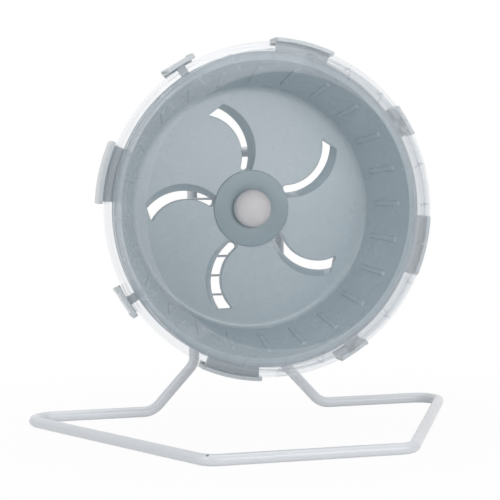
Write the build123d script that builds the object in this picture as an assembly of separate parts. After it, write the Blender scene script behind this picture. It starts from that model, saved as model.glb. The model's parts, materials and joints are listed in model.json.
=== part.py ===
from build123d import *
import math
import os

# A small-animal exercise wheel on a bent-rod stand.
# X runs to the right, Y to the rear and Z up, and the origin is on the floor in the middle of the base.
# Places along Y are measured from the front face of the drum's back plate, with the rear positive.
# Angles run clockwise from the top as seen from the front. All sizes are millimetres and degrees.

# Wheel as a whole
axle_height = 142.0
fit_gap = 0.1
loose_gap = 0.3

# Drum dish
plate_radius = 75.0
plate_thickness = 5.0
corner_radius = 6.0
drum_depth = 45.0
drum_wall = 2.2
wall_taper = 18.0
flange_width = 5.52
flange_thickness = 3.0
boss_radius = 25.1
boss_rise = 1.0
boss_edge = 0.4
hub_radius = 15.0
hub_foot_fillet = 2.5

# Curved slots through the back plate: three circles give the edges
slot_count = 5
slot_phase = -7.7
slot_front_centre = (-23.6, 41.6)
slot_front_radius = 32.0
slot_front_arc = (-28.5, 62.3)
slot_back_centre = (-28.3, 39.8)
slot_back_radius = 32.7
slot_back_arc = (-21.0, 61.2)
slot_inside_centre = (-27.1, 38.9)
slot_inside_radius = 26.5
slot_inside_arc = (-24.3, 72.9)
slot_end_bulge = 1.4

# Treads on the running wall
tread_count = 24
tread_phase = -1.5
tread_width = 3.6
tread_top_width = 2.8
tread_height = 0.8
tread_setback = 10.5
tread_margin = 5.0

# Clear guard ring
ring_wall = 2.2
ring_step = 0.1
ring_wall_height = 10.6
ring_lip_width = 13.8
ring_corner_fillet = 2.5
skirt_clearance = 2.9
skirt_overlap = 2.7
skirt_height = 12.8
skirt_edge_fillet = 0.9
rib_width = 0.9
rib_height = 0.7
rib_lip_share = 0.7

# Clips that hold the ring on the drum
clip_count = 4
long_clip_phase = 13.5
long_clip_span = 21.0
short_latch_phase = 58.5
short_latch_span = 11.0
clip_plate = 2.6
clip_slit = 1.1
clip_front_setback = 8.6
clip_rear_overlap = 8.7
clip_lip_thickness = 2.5
clip_lip_depth = 1.7
clip_corner = 1.5
hook_thickness = 3.5
hook_width = 5.0
hook_pair_angle = 14.0
bead_depth = 0.9
bead_width = 1.5
bead_lift = 2.2
bead_margin = 4.0
cheek_width = 2.2
cheek_rise = 0.7

# Ball bearings, 8 bore by 22 outside by 7 wide, twice
bearing_bore = 8.0
bearing_outside = 22.0
bearing_width = 7.0
ball_count = 7
ball_diameter = 3.969
race_land_inner = 6.0
race_land_outer = 9.0
race_running_gap = 0.08
shield_thickness = 0.5
shield_inset = 0.3
shield_seat = 0.6
shield_inner_gap = 0.25
cage_wall = 1.2
cage_crown = 1.6
cage_back = 2.4
front_bearing_place = 1.0
bearing_web = 3.0
web_bore_radius = 8.0
hub_tail = 1.5

# Hub cap
cap_radius = 12.45
cap_reach = 11.4
cap_side = 3.2
cap_bend_share = 0.7
cap_wall = 2.0
cap_spigot_wall = 1.4

# Axle stack
axle_diameter = 8.0
axle_front_tail = 1.5
collar_across_flats = 13.0
collar_thickness = 5.0
collar_inset = 1.5
axle_chamfer = 0.6
washer_radius = 5.9
axle_washer_thickness = 1.0
nut_across_flats = 13.0
nut_thickness = 6.5
sleeve_length = 2.5

# Bent-rod stand
rod_diameter = 7.0
upright_spacing = 61.0
top_bar_rise = 37.6
low_bend_height = 35.3
ground_bend_half = 59.7
rear_half_width = 150.3
front_half_width = 62.0
front_reach = 134.0
top_bend_radius = 12.0
low_bend_radius = 12.0
ground_bend_radius = 14.0
rear_bend_radius = 14.0
front_bend_radius = 12.0
vent_diameter = 1.5
vent_depth = 1.0

# Cross rungs between the uprights
rung_diameter = 1.6
rung_pitch = 13.1
rung_count = 8
top_rung_rise = 19.0
rung_overhang = 1.5
weld_sink = 0.25

# Axle bracket and the clamp behind the rungs
bracket_width = 34.0
bracket_height = 36.0
bracket_thickness = 9.0
bracket_corner = 5.0
bracket_edge = 1.0
nose_length = 8.7
nose_radius = 9.0
nose_foot_radius = 15.0
clamp_thickness = 3.5
clamp_width = 34.0
clamp_height = 30.0
clamp_hole_gap = 0.3
clamp_washer_radius = 8.5
clamp_washer_thickness = 1.2
clamp_travel = 2.5
knob_radius = 12.0
knob_length = 11.0
knob_neck_radius = 8.0
knob_neck_length = 2.5
knob_flutes = 6
knob_flute_radius = 4.0
knob_flute_depth = 1.6
knob_edge = 1.0
axle_rear_tail = 1.5

# Places worked out from the sizes above
rod_radius = rod_diameter / 2
axle_radius = axle_diameter / 2
bearing_radius = bearing_outside / 2
ball_radius = ball_diameter / 2
ball_orbit = (race_land_inner + race_land_outer) / 2
groove_radius = ball_radius + race_running_gap
rear_bearing_place = front_bearing_place + bearing_width + bearing_web
hub_rear = rear_bearing_place + bearing_width + hub_tail
bracket_front = rear_bearing_place + bearing_width + sleeve_length
bracket_rear = bracket_front + nose_length + bracket_thickness
rung_place = bracket_rear
stand_setback = rung_place + rung_diameter / 2 + rod_radius - weld_sink
clamp_front = rung_place + rung_diameter / 2 + loose_gap
clamp_washer_front = clamp_front + clamp_thickness
knob_front = clamp_washer_front + clamp_washer_thickness
rear_reach = knob_front + knob_length
plate_y = (front_reach + rod_radius - rear_reach) / 2
wall_slope = math.radians(wall_taper)
wall_foot_radius = plate_radius + corner_radius * math.cos(wall_slope)
wall_foot_depth = corner_radius * (1 - math.sin(wall_slope))
wall_rim_radius = wall_foot_radius + (drum_depth - wall_foot_depth) * math.tan(wall_slope)
flange_radius = wall_rim_radius + flange_width
tread_front = drum_depth - tread_setback
tread_rear = wall_foot_depth + tread_margin
ring_wall_radius = flange_radius - ring_step
ring_lip_radius = ring_wall_radius - ring_lip_width
skirt_radius = flange_radius + skirt_clearance + ring_wall
skirt_rear = drum_depth - skirt_overlap
skirt_front = skirt_rear + skirt_height
ring_corner = skirt_front + ring_wall_height
clip_front = skirt_front - clip_front_setback
clip_rear = drum_depth - flange_thickness - hook_thickness - clip_rear_overlap
bead_place = skirt_rear + bead_lift
clip_inner_radius = skirt_radius + clip_slit
clip_outer_radius = clip_inner_radius + clip_plate

parts = {}


# Shared forms

def on_wheel(shape):
    """Moves a piece drawn about the wheel's own axis to its place over the base."""
    return Pos(0, plate_y, axle_height) * shape


def turned(points, rounding=None):
    """Revolves an outline of (radius, y) points about the wheel's axis, with some corners rounded."""
    outline = make_face(Polyline(*points, close=True))
    for corner, radius in rounding or []:
        outline = fillet(outline.vertices().sort_by_distance((corner[0], corner[1], 0))[:1], radius)
    return revolve(outline, Axis.Y)


def sector(points, span, angle):
    """Revolves an outline of (radius, y) points through a span whose middle is at the angle."""
    outline = make_face(Polyline(*points, close=True))
    return Rot(0, angle - 90 - span / 2, 0) * revolve(outline, Axis.Y, span)


def ring_of(shape, count, phase):
    """Copies a piece around the wheel's axis."""
    return [Rot(0, phase + 360 * k / count, 0) * shape for k in range(count)]


def rod_along_y(radius, front, rear):
    """A round bar along the wheel's axis between two places."""
    return Pos(0, (front + rear) / 2, 0) * Rot(90, 0, 0) * Cylinder(radius, rear - front)


def tube_along_y(outer, inner, front, rear):
    """A plain sleeve along the wheel's axis."""
    return rod_along_y(outer, front, rear) - rod_along_y(inner, front, rear)


def hexagon_along_y(across_flats, front, rear):
    """A hexagonal bar along the wheel's axis."""
    outline = Plane.XZ * RegularPolygon(across_flats / 2, 6, major_radius=False)
    return Pos(0, rear, 0) * extrude(outline, rear - front)


def circle_point(centre, radius, angle):
    return (centre[0] + radius * math.cos(math.radians(angle)),
            centre[1] + radius * math.sin(math.radians(angle)))


# Drum dish

def slot_face(centre, radius, arc, place):
    """One slot outline at a place along Y, with its own edge on the outer side of the curve."""
    inner_tip = circle_point(centre, radius, arc[0])
    belly = circle_point(centre, radius, sum(arc) / 2)
    outer_tip = circle_point(centre, radius, arc[1])
    inside_outer = circle_point(slot_inside_centre, slot_inside_radius, slot_inside_arc[1])
    inside_belly = circle_point(slot_inside_centre, slot_inside_radius, sum(slot_inside_arc) / 2)
    inside_inner = circle_point(slot_inside_centre, slot_inside_radius, slot_inside_arc[0])
    end_middle = ((inner_tip[0] + inside_inner[0]) / 2,
                  (inner_tip[1] + inside_inner[1]) / 2 - slot_end_bulge)
    edges = [ThreePointArc(inner_tip, belly, outer_tip),
             Line(outer_tip, inside_outer),
             ThreePointArc(inside_outer, inside_belly, inside_inner),
             ThreePointArc(inside_inner, end_middle, inner_tip)]
    return Plane.XZ.offset(-place) * make_face(edges)


def slot_cutter():
    """The front outline leans in to the back one, so the outer side of each slot slopes."""
    front = slot_face(slot_front_centre, slot_front_radius, slot_front_arc, 0)
    back = slot_face(slot_back_centre, slot_back_radius, slot_back_arc, plate_thickness)
    return loft([front, back], ruled=True)


def tread():
    """One low tread bar that runs along the tapered wall."""
    start = (wall_foot_radius + tread_margin * math.tan(wall_slope), -tread_rear, 0)
    outward = (math.cos(wall_slope), math.sin(wall_slope), 0)
    along = (math.sin(wall_slope), -math.cos(wall_slope), 0)
    outline = Polyline((-tread_height, -tread_top_width / 2), (drum_wall / 2, -tread_width / 2),
                       (drum_wall / 2, tread_width / 2), (-tread_height, tread_top_width / 2), close=True)
    length = (tread_front - tread_rear) / math.cos(wall_slope)
    return extrude(Plane(start, x_dir=outward, z_dir=along) * make_face(outline), length)


def corner_arc(centre, radius):
    """The rounded corner from the plate round to the tapered wall."""
    return ThreePointArc(circle_point(centre, radius, 90), circle_point(centre, radius, 45 + wall_taper / 2),
                         circle_point(centre, radius, wall_taper))


def make_wheel_dish():
    outer_corner = corner_radius + drum_wall
    outer_lean = (plate_thickness - outer_corner + wall_foot_depth) * math.sin(wall_slope)
    outer_centre = (wall_foot_radius + (drum_wall - outer_corner - outer_lean) / math.cos(wall_slope),
                    plate_thickness - outer_corner)
    outer_rim_radius = (wall_rim_radius + drum_wall / math.cos(wall_slope)
                        - flange_thickness * math.tan(wall_slope))
    inner_arc = corner_arc((plate_radius, -corner_radius), corner_radius)
    outer_arc = corner_arc(outer_centre, outer_corner)
    front = Polyline((bearing_radius, -boss_rise), (boss_radius - boss_edge, -boss_rise),
                     (boss_radius, -boss_rise + boss_edge), (boss_radius, 0), (plate_radius, 0))
    wall = Polyline((wall_foot_radius, -wall_foot_depth), (wall_rim_radius, -drum_depth),
                    (flange_radius, -drum_depth), (flange_radius, -drum_depth + flange_thickness),
                    (outer_rim_radius, -drum_depth + flange_thickness),
                    circle_point(outer_centre, outer_corner, wall_taper))
    front_bearing_rear = front_bearing_place + bearing_width
    back = Polyline((outer_centre[0], plate_thickness), (hub_radius, plate_thickness),
                    (hub_radius, hub_rear), (bearing_radius, hub_rear),
                    (bearing_radius, rear_bearing_place), (web_bore_radius, rear_bearing_place),
                    (web_bore_radius, front_bearing_rear), (bearing_radius, front_bearing_rear),
                    (bearing_radius, -boss_rise))
    outline = make_face([front, inner_arc, wall, outer_arc, back])
    foot = outline.vertices().sort_by_distance((hub_radius, plate_thickness, 0))[:1]
    dish = revolve(fillet(foot, hub_foot_fillet), Axis.Y)
    dish = dish + ring_of(tread(), tread_count, tread_phase)
    return dish - ring_of(slot_cutter(), slot_count, slot_phase)


# Clear guard ring

def ring_rib():
    """One thin rib up the outside of the wall and over most of the lip."""
    sink = ring_wall / 3
    lift = rib_height * math.sqrt(0.5)
    drop = sink * math.sqrt(0.5)
    mitre = math.tan(math.radians(22.5))
    reach = rib_lip_share * (ring_wall_radius - ring_lip_radius)
    end_radius = ring_wall_radius - reach
    end_place = ring_corner + reach
    points = [(ring_wall_radius - sink, -skirt_front),
              (ring_wall_radius + rib_height, -skirt_front),
              (ring_wall_radius + rib_height, -ring_corner - rib_height * mitre),
              (end_radius + lift, -end_place - lift),
              (end_radius - drop, -end_place + drop),
              (ring_wall_radius - sink, -ring_corner + sink * mitre)]
    return extrude(make_face(Polyline(*points, close=True)), rib_width / 2, both=True)


def bead_points(gap):
    """The snap bead under a clip, or with a gap the pocket that it sits in."""
    return [(skirt_radius - bead_depth - gap, -bead_place - bead_width / 2 - gap),
            (clip_inner_radius + gap, -bead_place - bead_width / 2 - gap),
            (clip_inner_radius + gap, -bead_place + bead_width / 2 + gap),
            (skirt_radius - bead_depth - gap, -bead_place + bead_width / 2 + gap)]


def make_clear_ring():
    inner_wall = ring_wall_radius - ring_wall
    lip_front = ring_corner + ring_wall_radius - ring_lip_radius
    slant = ring_wall * math.sqrt(0.5)
    shoulder_rear = skirt_front - ring_wall
    skirt_inner = skirt_radius - ring_wall
    points = [(inner_wall, -drum_depth), (ring_wall_radius, -drum_depth),
              (ring_wall_radius, -shoulder_rear), (skirt_inner, -shoulder_rear),
              (skirt_inner, -skirt_rear), (skirt_radius, -skirt_rear),
              (skirt_radius, -skirt_front), (ring_wall_radius, -skirt_front),
              (ring_wall_radius, -ring_corner), (ring_lip_radius, -lip_front),
              (ring_lip_radius - slant, -lip_front + slant),
              (inner_wall, -ring_corner + ring_wall * math.tan(math.radians(22.5)))]
    lip_round = ring_wall * 0.45
    rounding = [((skirt_radius, -skirt_front), skirt_edge_fillet),
                ((ring_wall_radius, -ring_corner), ring_corner_fillet),
                ((ring_lip_radius, -lip_front), lip_round),
                ((ring_lip_radius - slant, -lip_front + slant), lip_round)]
    ring = turned(points, rounding) + ring_of(ring_rib(), tread_count, tread_phase)
    pocket_grow = math.degrees(fit_gap / skirt_radius)
    pockets = []
    for phase, span in ((long_clip_phase, long_clip_span), (short_latch_phase, short_latch_span)):
        pocket = sector(bead_points(fit_gap), span - bead_margin + 2 * pocket_grow, 0)
        pockets += ring_of(pocket, clip_count, phase)
    return ring - pockets


# Clips

def clip_plate_piece(span):
    """The outer plate of a clip with its corners rounded in plan."""
    points = [(clip_inner_radius, -clip_front), (clip_outer_radius, -clip_front),
              (clip_outer_radius, -clip_rear), (clip_inner_radius, -clip_rear)]
    plate = sector(points, span, 0)
    corners = [edge for edge in plate.edges().filter_by(GeomType.LINE)
               if abs(edge.length - clip_plate) < fit_gap and edge.center().Y < -(clip_front + clip_rear) / 2]
    return fillet(corners, clip_corner)


def clip_body(span, hook_angles):
    """A clip at the top of the wheel: plate, rear lip, snap bead and the hooks behind the drum's flange."""
    lip_inner = clip_inner_radius - clip_lip_depth
    lip = [(lip_inner, -clip_rear - clip_lip_thickness), (clip_outer_radius - fit_gap, -clip_rear - clip_lip_thickness),
           (clip_outer_radius - fit_gap, -clip_rear), (lip_inner, -clip_rear)]
    hook_front = drum_depth - flange_thickness
    hook_foot = wall_rim_radius + drum_wall + loose_gap
    hook = [(hook_foot, -hook_front), (clip_inner_radius + fit_gap, -hook_front),
            (clip_inner_radius + fit_gap, -hook_front + hook_thickness), (hook_foot, -hook_front + hook_thickness)]
    hook_span = math.degrees(hook_width / flange_radius)
    pieces = [sector(lip, span, 0), sector(bead_points(0), span - bead_margin, 0)]
    pieces += [sector(hook, hook_span, angle) for angle in hook_angles]
    return clip_plate_piece(span) + pieces


def make_long_clip(angle):
    half = hook_pair_angle / 2
    return Rot(0, angle, 0) * clip_body(long_clip_span, (-half, half))


def make_short_latch(angle):
    """A short latch has a raised cheek at each end."""
    cheek_span = math.degrees(cheek_width / clip_outer_radius)
    cheek = [(clip_outer_radius - clip_plate / 2, -clip_front + clip_corner),
             (clip_outer_radius + cheek_rise, -clip_front + clip_corner),
             (clip_outer_radius + cheek_rise, -clip_rear - clip_corner),
             (clip_outer_radius - clip_plate / 2, -clip_rear - clip_corner)]
    swing = (short_latch_span - cheek_span) / 2
    cheeks = [sector(cheek, cheek_span, -swing), sector(cheek, cheek_span, swing)]
    return Rot(0, angle, 0) * (clip_body(short_latch_span, (0,)) + cheeks)


# Bearings

def ball_groove(place):
    return Pos(0, place + bearing_width / 2, 0) * Rot(90, 0, 0) * Torus(ball_orbit, groove_radius)


def make_outer_race(place):
    seat = race_land_outer + shield_seat
    inset = shield_inset + shield_thickness
    race = tube_along_y(bearing_radius, race_land_outer, place, place + bearing_width)
    race = race - rod_along_y(seat, place, place + inset)
    race = race - rod_along_y(seat, place + bearing_width - inset, place + bearing_width)
    return race - ball_groove(place)


def make_inner_race(place):
    race = tube_along_y(race_land_inner, bearing_bore / 2, place, place + bearing_width)
    return race - ball_groove(place)


def shield(front):
    return tube_along_y(race_land_outer + shield_seat, race_land_inner + shield_inner_gap,
                        front, front + shield_thickness)


def make_shields(place):
    rear = place + bearing_width - shield_inset - shield_thickness
    return Compound(children=[shield(place + shield_inset), shield(rear)])


def ball_places(place):
    for k in range(ball_count):
        angle = 2 * math.pi * k / ball_count
        yield Pos(ball_orbit * math.sin(angle), place + bearing_width / 2, ball_orbit * math.cos(angle))


def make_balls(place):
    return Compound(children=[spot * Sphere(ball_radius) for spot in ball_places(place)])


def make_cage(place):
    """A crown cage: open pockets towards the front and a thin ring behind the balls."""
    middle = place + bearing_width / 2
    crown = tube_along_y(ball_orbit + cage_wall / 2, ball_orbit - cage_wall / 2,
                         middle - cage_crown, middle + cage_back)
    return crown - [spot * Sphere(groove_radius) for spot in ball_places(place)]


# Hub cap and axle stack

def dome(radius, reach, side):
    """A button: a short straight side, a round shoulder and a flatter crown that runs on from it."""
    shoulder = -boss_rise - side
    rise = reach + shoulder
    bend = cap_bend_share * rise
    crown = ((radius - bend) ** 2 + rise ** 2 - bend ** 2) / (2 * (rise - bend))
    lean = math.degrees(math.asin((radius - bend) / (crown - bend)))
    bend_centre = (radius - bend, shoulder)
    crown_centre = (0, crown - reach)
    join = circle_point(crown_centre, crown, lean - 90)
    edges = [Polyline((0, -reach), (0, -boss_rise), (radius, -boss_rise), (radius, shoulder)),
             ThreePointArc((radius, shoulder), circle_point(bend_centre, bend, (lean - 90) / 2), join),
             ThreePointArc(join, circle_point(crown_centre, crown, lean / 2 - 90), (0, -reach))]
    return revolve(make_face(edges), Axis.Y)


def make_hub_cap():
    hollow = dome(cap_radius - cap_wall, cap_reach - cap_wall, cap_side)
    spigot = tube_along_y(bearing_radius, bearing_radius - cap_spigot_wall, -boss_rise, front_bearing_place)
    return dome(cap_radius, cap_reach, cap_side) - hollow + spigot


nut_rear = front_bearing_place - axle_washer_thickness
nut_front = nut_rear - nut_thickness
axle_front = nut_front - axle_front_tail
collar_rear = bracket_rear - collar_inset
collar_front = collar_rear - collar_thickness
axle_rear = knob_front + knob_length - axle_rear_tail


def make_axle():
    """A stud with a hexagonal collar that seats in the bracket."""
    shaft = rod_along_y(axle_radius, axle_front, axle_rear)
    ends = shaft.edges().filter_by(GeomType.CIRCLE)
    return chamfer(ends, axle_chamfer) + hexagon_along_y(collar_across_flats, collar_front, collar_rear)


def make_axle_nut():
    nut = hexagon_along_y(nut_across_flats, nut_front, nut_rear)
    return nut - rod_along_y(axle_radius, nut_front, nut_rear)


# Stand

def rod_path():
    """The centreline of the right half of the stand, from the top bar's middle to the front bar's middle."""
    back = plate_y + stand_setback
    front = plate_y - front_reach
    top = axle_height + top_bar_rise
    upright = upright_spacing / 2
    points = [(0, back, top), (upright, back, top), (upright, back, low_bend_height),
              (ground_bend_half, back, rod_radius), (rear_half_width, back, rod_radius),
              (front_half_width, front, rod_radius), (0, front, rod_radius)]
    bends = [top_bend_radius, low_bend_radius, ground_bend_radius, rear_bend_radius, front_bend_radius]
    return FilletPolyline(*points, radius=bends)


def make_stand_frame():
    path = rod_path()
    section = Plane(path @ 0, z_dir=path % 0) * Circle(rod_radius)
    half = sweep(section, path=path)
    frame = half + mirror(half, Plane.YZ)
    vent = Pos(-front_half_width, plate_y - front_reach, 2 * rod_radius - vent_depth)
    return frame - vent * Cylinder(vent_diameter / 2, 2 * vent_depth, align=(Align.CENTER, Align.CENTER, Align.MIN))


def rung_heights():
    return [top_rung_rise - rung_pitch * k for k in range(rung_count)]


def rung(height, radius, length):
    return Pos(0, rung_place, height) * Rot(0, 90, 0) * Cylinder(radius, length)


def make_cross_rungs():
    length = upright_spacing + 2 * rung_overhang
    return Compound(children=[rung(height, rung_diameter / 2, length) for height in rung_heights()])


# Bracket and clamp

def make_axle_bracket():
    """A block in front of the rungs with a conical nose that the bearing sleeve seats on."""
    block_front = bracket_rear - bracket_thickness
    outline = Plane.XZ.offset(-bracket_rear) * RectangleRounded(bracket_width, bracket_height, bracket_corner)
    block = extrude(outline, bracket_thickness)
    front_edges = block.faces().sort_by(Axis.Y)[0].edges()
    block = chamfer(front_edges, bracket_edge)
    nose = turned([(0, bracket_front), (nose_radius, bracket_front), (nose_foot_radius, block_front + bracket_edge),
                   (0, block_front + bracket_edge)])
    bracket = block + nose - rod_along_y(axle_radius, bracket_front, bracket_rear)
    bracket = bracket - hexagon_along_y(collar_across_flats, collar_front, bracket_rear)
    grooves = [rung(height, rung_diameter / 2 + fit_gap, 2 * bracket_width) for height in rung_heights()
               if abs(height) < bracket_height / 2]
    return bracket - grooves


def make_clamp_plate():
    outline = Plane.XZ.offset(-clamp_front - clamp_thickness) * RectangleRounded(clamp_width, clamp_height,
                                                                                bracket_corner)
    plate = extrude(outline, clamp_thickness)
    plate = chamfer(plate.faces().sort_by(Axis.Y)[-1].edges(), bracket_edge)
    return plate - rod_along_y(axle_radius + clamp_hole_gap, clamp_front, clamp_front + clamp_thickness)


def make_clamp_knob():
    """A fluted thumb knob with a short neck against the washer."""
    rear = knob_front + knob_length
    grip_front = knob_front + knob_neck_length
    neck = tube_along_y(knob_neck_radius, axle_radius + clamp_hole_gap, knob_front, rear)
    grip = rod_along_y(knob_radius, grip_front, rear)
    grip = chamfer(grip.edges().filter_by(GeomType.CIRCLE), knob_edge)
    flute_place = knob_radius + knob_flute_radius - knob_flute_depth
    flute = Pos(flute_place, 0, 0) * rod_along_y(knob_flute_radius, grip_front, rear)
    grip = grip - ring_of(flute, knob_flutes, 0)
    return grip + neck - rod_along_y(axle_radius + clamp_hole_gap, knob_front, rear)


# Every piece by name

parts["wheel_dish"] = make_wheel_dish()
parts["clear_ring"] = make_clear_ring()
for k in range(clip_count):
    quarter = 360 * k / clip_count
    parts[f"long_clip_{k + 1}"] = make_long_clip(long_clip_phase + quarter)
    parts[f"short_latch_{k + 1}"] = make_short_latch(short_latch_phase + quarter)
for side, place in (("front", front_bearing_place), ("rear", rear_bearing_place)):
    parts[f"{side}_bearing_outer_race"] = make_outer_race(place)
    parts[f"{side}_bearing_inner_race"] = make_inner_race(place)
    parts[f"{side}_bearing_shields"] = make_shields(place)
    parts[f"{side}_bearing_balls"] = make_balls(place)
    parts[f"{side}_bearing_cage"] = make_cage(place)
parts["hub_cap"] = make_hub_cap()
parts["axle"] = make_axle()
parts["axle_nut"] = make_axle_nut()
parts["axle_washer"] = tube_along_y(washer_radius, axle_radius, nut_rear, front_bearing_place)
parts["bearing_spacer"] = tube_along_y(washer_radius, axle_radius, front_bearing_place + bearing_width,
                                       rear_bearing_place)
parts["axle_sleeve"] = tube_along_y(washer_radius, axle_radius, rear_bearing_place + bearing_width, bracket_front)
parts["cross_rungs"] = make_cross_rungs()
parts["axle_bracket"] = make_axle_bracket()
parts["clamp_plate"] = make_clamp_plate()
parts["clamp_washer"] = tube_along_y(clamp_washer_radius, axle_radius + clamp_hole_gap, clamp_washer_front,
                                     knob_front)
parts["clamp_knob"] = make_clamp_knob()
parts = {name: on_wheel(shape) for name, shape in parts.items()}
parts["stand_frame"] = make_stand_frame()

os.makedirs("parts", exist_ok=True)
for name, shape in parts.items():
    export_step(shape, f"parts/{name}.step")
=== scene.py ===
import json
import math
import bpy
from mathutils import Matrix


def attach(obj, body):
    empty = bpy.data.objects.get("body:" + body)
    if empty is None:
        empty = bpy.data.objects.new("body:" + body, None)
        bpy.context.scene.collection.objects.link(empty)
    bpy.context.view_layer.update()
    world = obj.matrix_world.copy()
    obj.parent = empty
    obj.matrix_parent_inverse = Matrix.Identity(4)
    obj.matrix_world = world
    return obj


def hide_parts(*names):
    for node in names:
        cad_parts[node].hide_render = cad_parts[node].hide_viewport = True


bl_info = {
    "name": "Exercise wheel looks",
    "version": (1, 0, 0),
    "blender": (4, 5, 0),
    "location": "3D View > Sidebar > Exercise Wheel",
    "description": "Builds the finished surfaces of a small-animal exercise wheel around its packed frame",
    "category": "Object",
}

import bmesh
import bpy
from mathutils import Matrix, Vector

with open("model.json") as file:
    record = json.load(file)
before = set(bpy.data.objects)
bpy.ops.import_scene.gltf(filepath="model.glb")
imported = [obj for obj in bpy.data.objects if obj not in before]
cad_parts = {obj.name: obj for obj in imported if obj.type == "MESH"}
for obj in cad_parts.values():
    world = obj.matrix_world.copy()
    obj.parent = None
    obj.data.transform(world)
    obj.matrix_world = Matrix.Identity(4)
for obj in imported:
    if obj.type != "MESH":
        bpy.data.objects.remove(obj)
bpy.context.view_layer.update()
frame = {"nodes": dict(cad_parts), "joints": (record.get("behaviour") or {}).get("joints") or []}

MM = 0.001
SPIN = next(j for j in frame["joints"] if j["name"] == "wheel_spin")
WHEEL_CENTRE = Vector(SPIN["pos_m"])

# Sizes in millimetres, with Y measured from the front face of the drum's back plate
PLATE_RADIUS = 75.0
PLATE_THICKNESS = 5.0
WALL_TAPER = math.radians(18.0)
DRUM_DEPTH = 45.0
DRUM_WALL = 2.2
CORNER_RADIUS = 6.0
WALL_AT_PLATE = PLATE_RADIUS + CORNER_RADIUS * math.tan((math.pi / 2 - WALL_TAPER) / 2)
WALL_RIM_RADIUS = WALL_AT_PLATE + DRUM_DEPTH * math.tan(WALL_TAPER)
FLANGE_RADIUS = 99.5
FLANGE_THICKNESS = 3.0
BOSS_RADIUS = 25.1
BOSS_RISE = 1.0
HUB_RADIUS = 15.0
HUB_REAR = 19.5
POCKET_RADIUS = 11.0
WEB_BORE = 8.0
FRONT_POCKET_REAR = 8.0
REAR_POCKET_FRONT = 11.0
SLOT_PHASE = -7.7
SLOT_FRONT = ((-23.6, 41.6), 32.0, (-28.5, 62.3))
SLOT_BACK = ((-28.3, 39.8), 32.7, (-21.0, 61.2))
SLOT_INSIDE = ((-27.1, 38.9), 26.5, (-24.3, 72.9))
TREAD_PHASE = -1.5
TREAD_REAR = 9.15
TREAD_FRONT = 34.5
TREAD_HEIGHT = 0.8
TREAD_HALF_WIDTH = 1.8
TREAD_ROOT = 0.8
RING_WALL = 2.2
RING_RADIUS = 99.4
RING_CORNER = 65.7
RING_LIP_RADIUS = 85.6
SKIRT_RADIUS = 104.6
SKIRT_FRONT = 55.1
SKIRT_REAR = 42.3
RIB_HEIGHT = 0.7
RIB_HALF_WIDTH = 0.45
RIB_ROOT = 0.4
RIB_LIP_SHARE = 0.7
CLIP_INNER = 105.7
CLIP_OUTER = 108.3
CLIP_FRONT = 46.5
CLIP_REAR = 29.8
LONG_PHASE = 13.5
LONG_SPAN = 21.0
SHORT_PHASE = 58.5
SHORT_SPAN = 11.0
CLIP_CORNER = 1.5
CLIP_TOE = 1.7
CLIP_TOE_LENGTH = 2.5
WEB_LENGTH = 3.5
WEB_GAP = 0.02
LONG_WEB_SPAN = 19.4
SHORT_WEB_SPAN = 2.9
CHEEK_WIDTH = 2.2
CHEEK_LIFT = 0.7
CHEEK_ROOT = 1.3
CHEEK_INSET = 1.5
CAP_RADIUS = 12.45
CAP_REACH = 11.4
CAP_SIDE = 3.2
CAP_WALL = 2.0
STAND_PLACE = 42.25
UPRIGHT_HALF = 30.5
TOP_BAR_RISE = 37.6
LOW_BEND = 35.3
GROUND_HALF = 59.7
REAR_HALF = 150.3
FRONT_HALF = 62.0
FRONT_REACH = 134.0
RUNG_PITCH = 13.1
TOP_RUNG = 19.0
RUNG_PLACE = 38.2
RUNG_OVERHANG = 1.5
FLOOR_HALF = 6000.0

# The photograph's camera, in metres, fitted to the rim's ellipses and the stand's bars
CAMERA_PLACE = (-0.24394, -0.93916, 0.16922)
CAMERA_RIGHT = (0.96795, -0.25092, -0.01071)
CAMERA_UP = (0.02449, 0.05187, 0.99835)
CAMERA_LOOK = (0.24996, 0.96662, -0.05635)
CAMERA_LENS = 106.0
SENSOR_WIDTH = 36.0


class WheelForm(bpy.types.PropertyGroup):
    """Counts and rod sizes that a user may change"""

    slot_count: bpy.props.IntProperty(
        name="Slots", description="Curved slots through the back plate", default=5, min=1)
    tread_count: bpy.props.IntProperty(
        name="Treads", description="Tread bars on the running wall", default=24, min=3)
    rung_count: bpy.props.IntProperty(
        name="Rungs", description="Cross wires between the uprights", default=8, min=1)
    rod_radius: bpy.props.FloatProperty(
        name="Rod radius", description="Radius of the stand's bent rod", default=3.5 * MM, unit="LENGTH")
    rung_radius: bpy.props.FloatProperty(
        name="Rung radius", description="Radius of the cross wires", default=0.8 * MM, unit="LENGTH")


class WheelFinish(bpy.types.PropertyGroup):
    """Colours that a user may change"""

    drum: bpy.props.FloatVectorProperty(
        name="Drum", description="Colour of the drum's plastic", subtype="COLOR", size=3,
        default=(0.415, 0.485, 0.525))
    boss: bpy.props.FloatVectorProperty(
        name="Boss", description="Colour of the raised boss", subtype="COLOR", size=3,
        default=(0.265, 0.34, 0.375))
    clip: bpy.props.FloatVectorProperty(
        name="Clips", description="Colour of the clips", subtype="COLOR", size=3,
        default=(0.58, 0.63, 0.66))
    clear: bpy.props.FloatVectorProperty(
        name="Guard ring", description="Tint of the clear plastic", subtype="COLOR", size=3,
        default=(0.95, 0.957, 0.966))
    cap: bpy.props.FloatVectorProperty(
        name="Cap", description="Colour of the hub cap", subtype="COLOR", size=3,
        default=(0.66, 0.64, 0.65))
    rod: bpy.props.FloatVectorProperty(
        name="Stand", description="Colour of the coated rod", subtype="COLOR", size=3,
        default=(0.73, 0.755, 0.79))


# Shader maths

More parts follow.
